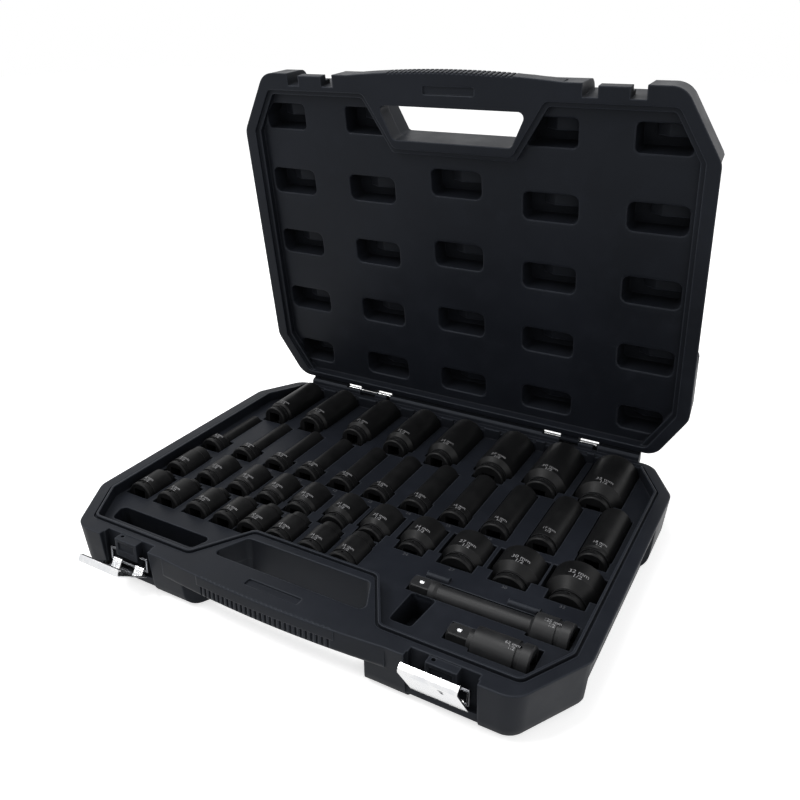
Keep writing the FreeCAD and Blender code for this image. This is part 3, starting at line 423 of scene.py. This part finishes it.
def cells():
    """Each pocket: x, y, old and new size, left and right corner cut or not, in the CAD or not."""
    for i, x in enumerate(COLUMNS):
        for y in (MIDDLE_ROWS if i == MIDDLE else ROWS):
            front = y == ROWS[0]
            old, new = OLD_SIZE, NEW_SIZE
            if front:
                old, new = OLD_FRONT, NEW_FRONT
            elif y == ROWS[-1] and i in (0, 4):
                old, new = OLD_CORNER, NEW_CORNER
            beside_handle = front and i in (1, 3)
            yield x, y, old, new, front and i in (0, 3), front and i in (1, 4), not beside_handle


def cell_outline(x, y, size, cut, left, right):
    """Counter-clockwise outline of a pocket, its front corners cut off where asked."""
    hw, hh = size[0] * MM / 2, size[1] * MM / 2
    cw, ch = cut[0] * MM, cut[1] * MM
    pts = [(x + hw, y + hh), (x - hw, y + hh)]
    pts += [(x - hw, y - hh + ch), (x - hw + cw, y - hh)] if left else [(x - hw, y - hh)]
    pts += [(x + hw - cw, y - hh), (x + hw, y - hh + ch)] if right else [(x + hw, y - hh)]
    return pts


def pocket(x, y, size, left, right):
    """Cutter for a pocket with eased lip, less the ridged block that rises at its front."""
    pts = cell_outline(x, y, size, NEW_CUT, left, right)
    r = CUT_CELL_R if left or right else CELL_R
    ease = CELL_LIP * LIP_EASE
    wide = round_polygon(offset_polygon(pts, CELL_LIP), r + CELL_LIP)
    cell = solid_from_rings("pocket", [
        level(wide, PANEL - CLEAR),
        level(wide, PANEL),
        level(round_polygon(offset_polygon(pts, ease), r + ease), PANEL + ease),
        level(round_polygon(pts, r), PANEL + CELL_LIP),
        level(round_polygon(offset_polygon(pts, -CELL_DRAFT), r - CELL_DRAFT), PANEL + CELL_DEPTH)])
    far = PANEL + CELL_DEPTH + PAST
    ridge = PANEL + BLOCK_DOWN
    right_end = x + size[0] * MM / 2 + PAST
    face = [(x + BLOCK_LEFT, far), (x + BLOCK_LEFT, ridge + BLOCK_SLOPE), (x + BLOCK_RIDGE, ridge),
            (right_end, ridge + BLOCK_FALL), (right_end, far)]
    ends = (y - size[1] * MM / 2 - PAST, y + size[1] * MM * BLOCK_REAR)
    block = solid_from_rings("block", [[(px, end, pz) for px, pz in face] for end in ends])
    boolean(cell, [block], "DIFFERENCE")
    return cell


def plug(x, y, size, left, right):
    """Filler for a pocket of the CAD lid."""
    outline = offset_polygon(cell_outline(x, y, size, OLD_CUT, left, right), PLUG_OVER)
    ring = round_polygon(outline, PLUG_R)
    return solid_from_rings("plug", [level(ring, PANEL + PLUG_TOP), level(ring, PANEL + PLUG_BOTTOM)])


def open_with_lid(ob):
    ob.data.transform(Matrix.Translation(HINGE)
                      @ Matrix.Rotation(-math.radians(LID_OPEN_DEG), 4, "X")
                      @ Matrix.Translation(-HINGE))
    return ob


def lid_moulding():
    """The CAD lid with its pockets filled and cut again, the two beside the handle among them."""
    lid = welded_copy("lid_shell", "lid_moulding")
    plugs, pockets = [], []
    for x, y, old, new, left, right, in_cad in cells():
        if in_cad:
            plugs.append(open_with_lid(plug(x, y, old, left, right)))
        pockets.append(open_with_lid(pocket(x, y, new, left, right)))
    boolean(lid, plugs, "UNION")
    boolean(lid, pockets, "DIFFERENCE")
    lid.data.materials.clear()
    lid.data.materials.append(CASE)
    crisp(lid, 24)
    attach(lid, BODY_OF["lid_shell"])
    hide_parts("lid_shell")


lid_moulding()


# ------------------------------------------------------------------ smooth band over the grip ribs
BOW_HALF, BOW_OUT = 100.0 * MM, 5.0 * MM         # the grip bows out this far over this half length
BOW_R = (BOW_HALF ** 2 + BOW_OUT ** 2) / (2 * BOW_OUT)
BAND_HALF, BAND_DOWN, BAND_STEPS = 62.0 * MM, 9.0, 48
# Section of the band in mm: out from the bow, and up from the rim.
BAND_SECTION = [(-1.6, -0.05), (-0.2, 0.0), (0.10, -0.25), (0.25, -0.8), (0.25, 0.8 - BAND_DOWN),
                (0.05, 0.2 - BAND_DOWN), (-0.3, -BAND_DOWN), (-1.6, -BAND_DOWN)]


def grip_band():
    """Curved strip that follows the bow and runs down over the upper half of the ribs."""
    rings = []
    for i in range(BAND_STEPS + 1):
        a = math.asin(BAND_HALF / BOW_R) * (2 * i / BAND_STEPS - 1)
        rings.append([((BOW_R + out * MM) * math.sin(a),
                       FRONT_Y - BOW_OUT + BOW_R - (BOW_R + out * MM) * math.cos(a),
                       RIM + up * MM) for out, up in BAND_SECTION])
    band = solid_from_rings("grip_band", rings)
    band.data.materials.append(CASE)
    crisp(band, 30)
    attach(band, "base")


grip_band()


# ------------------------------------------------------------------ size marks
PRINT_UP = 0.06 * MM             # the print stands off the steel by this
MARK_SIZE, MARK_GROW = 2.0 * MM, 0.18            # letter height, plus this share of the radius
MARK_TURN = 0.10                 # turned this far round the socket, in radians
BIG_SIZE, BIG_HEAD, HEAD = 27, 15.0 * MM, 12.5 * MM       # radius of a socket's drive end
SHOULDER = {"deep": 9.8 * MM, "shallow": 8.8 * MM}        # length of the drive end
CONE_LEAST, CONE_SLOPE, PAST_CONE = 2.0 * MM, 1.15, 3.6 * MM
PLAIN_MARK = 10.4 * MM           # from the drive end, on a socket with no shoulder
BAR_MARKS = (("extension_bar_long", "125 mm"), ("extension_bar_short", "62 mm"))
BAR_MARK_SIZE, BAR_MARK_TURN = 3.9 * MM, 0.25
DRUM_MARK = 14.5 * MM            # from the drum end of an extension bar
TRAY_TEXT, TRAY_TEXT_UP = 4.6 * MM, 0.25 * MM
TRAY_TEXT_FORWARD = 7.6 * MM     # in front of the socket
TRAY_DEEP_LAST = 18              # the deep sockets up to this size have a number in the tray
TRAY_SHALLOW = (24, 27, 30, 32)  # and these shallow ones


def text_mesh(words, height):
    curve = bpy.data.curves.new("t_" + words, "FONT")
    curve.body = words
    curve.size = height
    curve.align_x = "CENTER"
    curve.align_y = "CENTER"
    curve.resolution_u = 2
    curve.space_line = 0.85
    ob = linked("t_" + words, curve)
    me = evaluated_mesh(ob)
    bpy.data.objects.remove(ob)
    bpy.data.curves.remove(curve)
    return me


def add_print(name, me, mat, body):
    me.materials.clear()
    me.materials.append(mat)
    ob = linked(name, me)
    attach(ob, body)


def middle(node):
    lo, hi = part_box(node)
    return [(a + b) / 2 for a, b in zip(lo, hi)]


def mark_socket(node, kind, size):
    """Wrap the size round a socket: text x runs round it, text y along it."""
    lo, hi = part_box(node)
    cx, _, cz = middle(node)
    widest = (hi[0] - lo[0]) / 2
    head = BIG_HEAD if size >= BIG_SIZE else HEAD
    along = PLAIN_MARK
    if widest > head + 0.1 * MM:
        along = SHOULDER[kind] + max(CONE_LEAST, (widest - head) * CONE_SLOPE) + PAST_CONE
    me = text_mesh("%d mm\n1/2" % size, MARK_SIZE + MARK_GROW * widest)
    r = widest + PRINT_UP
    for v in me.vertices:
        a = MARK_TURN + v.co.x / r
        v.co = (cx + r * math.sin(a), lo[1] + along + v.co.y, cz + r * math.cos(a))
    add_print("mark_" + node, me, PRINT, BODY_OF[node])


def mark_bar(node, words):
    """Wrap the length round a bar's drum: text x runs along it, text y round it."""
    lo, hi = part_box(node)
    _, cy, cz = middle(node)
    drum = (hi[1] - lo[1]) / 2
    me = text_mesh(words + "\n1/2", BAR_MARK_SIZE)
    for v in me.vertices:
        a = v.co.y / drum - BAR_MARK_TURN
        v.co = (hi[0] - DRUM_MARK + v.co.x, cy + (drum + PRINT_UP) * math.sin(a),
                cz + (drum + PRINT_UP) * math.cos(a))
    add_print("mark_" + node, me, PRINT, BODY_OF[node])


def number_in_tray(node, size):
    """Moulded number in front of a socket, lying on the tray."""
    lo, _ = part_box(node)
    cx = middle(node)[0]
    me = text_mesh(str(size).zfill(2), TRAY_TEXT)
    for v in me.vertices:
        v.co = (cx + v.co.x, lo[1] - TRAY_TEXT_FORWARD + v.co.y, TRAY + TRAY_TEXT_UP)
    add_print("tray_number_" + node, me, MOULDED, "base")


SOCKETS = []
for node in sorted(NODES):
    if "_socket_" in node:
        kind, _, size = node.split("_")
        SOCKETS.append((node, kind, int(size)))
for socket in SOCKETS:
    mark_socket(*socket)
for bar in BAR_MARKS:
    mark_bar(*bar)
for node, kind, size in SOCKETS:
    if size <= TRAY_DEEP_LAST if kind == "deep" else size in TRAY_SHALLOW:
        number_in_tray(node, size)


# ------------------------------------------------------------------ stage and light
WHITE = (1.0, 1.0, 1.0, 1.0)
WORLD_LIGHT = 0.38               # strength of the world for diffuse rays
FLOOR_LIFT = 0.66                # glow that makes the far floor white to the camera
FLOOR_HALF = 6.0
LIGHTS = (                       # name, place, target, size, watts
    ("key", (-1.1, -1.0, 1.9), (0.0, 0.0, 0.1), (1.0, 0.8), 25),
    ("fill", (1.9, -0.9, 1.2), (0.0, 0.0, 0.1), (1.4, 1.4), 9),
    ("top", (-0.2, 0.1, 2.0), (0.0, 0.0, 0.0), (1.0, 0.7), 18))


def any_ray(nt, *kinds):
    """1 for a ray of any of the named kinds."""
    path = nt.nodes.new("ShaderNodeLightPath")
    last = path.outputs[kinds[0]]
    for kind in kinds[1:]:
        last = maths(nt, "MAXIMUM", last, path.outputs[kind]).outputs[0]
    return last


def floor_material():
    """White to the camera with the object's shadow kept, and plain white to reflections."""
    mat, nt, bsdf = new_material("floor_white")
    bsdf.inputs["Base Color"].default_value = (0.9, 0.9, 0.9, 1.0)
    bsdf.inputs["Roughness"].default_value = 0.9
    lift = nt.nodes.new("ShaderNodeEmission")
    nt.links.new(span(nt, any_ray(nt, "Is Camera Ray"), 0.0, FLOOR_LIFT), lift.inputs["Strength"])
    seen = nt.nodes.new("ShaderNodeAddShader")
    nt.links.new(bsdf.outputs[0], seen.inputs[0])
    nt.links.new(lift.outputs[0], seen.inputs[1])
    glow = nt.nodes.new("ShaderNodeEmission")
    glow.inputs["Color"].default_value = WHITE
    mix = nt.nodes.new("ShaderNodeMixShader")
    nt.links.new(any_ray(nt, "Is Glossy Ray", "Is Transmission Ray"), mix.inputs[0])
    nt.links.new(seen.outputs[0], mix.inputs[1])
    nt.links.new(glow.outputs[0], mix.inputs[2])
    out = next(n for n in nt.nodes if n.type == "OUTPUT_MATERIAL")
    nt.links.new(mix.outputs[0], out.inputs[0])
    return mat


def make_floor():
    me = bpy.data.meshes.new("floor")
    corners = [(x * FLOOR_HALF, y * FLOOR_HALF, 0) for x, y in ((-1, -1), (1, -1), (1, 1), (-1, 1))]
    me.from_pydata(corners, [], [(0, 1, 2, 3)])
    me.materials.append(floor_material())
    linked("floor", me)


def area(name, place, target, size, watts):
    light = bpy.data.lights.new(name, "AREA")
    light.shape = "RECTANGLE"
    light.size, light.size_y = size
    light.energy = watts
    ob = linked(name, light)
    ob.location = place
    ob.rotation_euler = (Vector(target) - Vector(place)).to_track_quat("-Z", "Y").to_euler()


def make_world():
    world = bpy.data.worlds.new("world")
    bpy.context.scene.world = world
    world.use_nodes = True
    nt = world.node_tree
    background = nt.nodes["Background"]
    background.inputs["Color"].default_value = WHITE
    white_to = any_ray(nt, "Is Camera Ray", "Is Glossy Ray", "Is Transmission Ray")
    nt.links.new(span(nt, white_to, WORLD_LIGHT, 1.0), background.inputs["Strength"])


make_floor()
for light in LIGHTS:
    area(*light)
make_world()
scene = bpy.context.scene
scene.view_settings.view_transform = "Standard"


# ------------------------------------------------------------------ camera, fitted to the photo
AZ, EL, ROLL = math.radians(30.24), math.radians(22.5), math.radians(-0.35)
CAMERA_AT = (0.3168, -0.5461, RIM + 0.3875)
SENSOR, FOCAL_PX, WIDTH_PX = 36.0, 827.0, 800.0
SHIFT_X, SHIFT_Y = 0.0288, -0.0488

back = Vector((math.sin(AZ) * math.cos(EL), -math.cos(AZ) * math.cos(EL), math.sin(EL)))
level_right = (-back).cross(Vector((0, 0, 1))).normalized()
level_up = level_right.cross(-back).normalized()
right = level_right * math.cos(ROLL) + level_up * math.sin(ROLL)
up = right.cross(-back).normalized()
cam = bpy.data.cameras.new("camera")
cam.sensor_width = SENSOR
cam.lens = SENSOR * FOCAL_PX / WIDTH_PX
cam.shift_x, cam.shift_y = SHIFT_X, SHIFT_Y
cam.clip_start = 0.01
cam_ob = linked("camera", cam)
cam_ob.matrix_world = (Matrix.Translation(CAMERA_AT)
                       @ Matrix((right, up, back)).transposed().to_4x4())
scene.camera = cam_ob
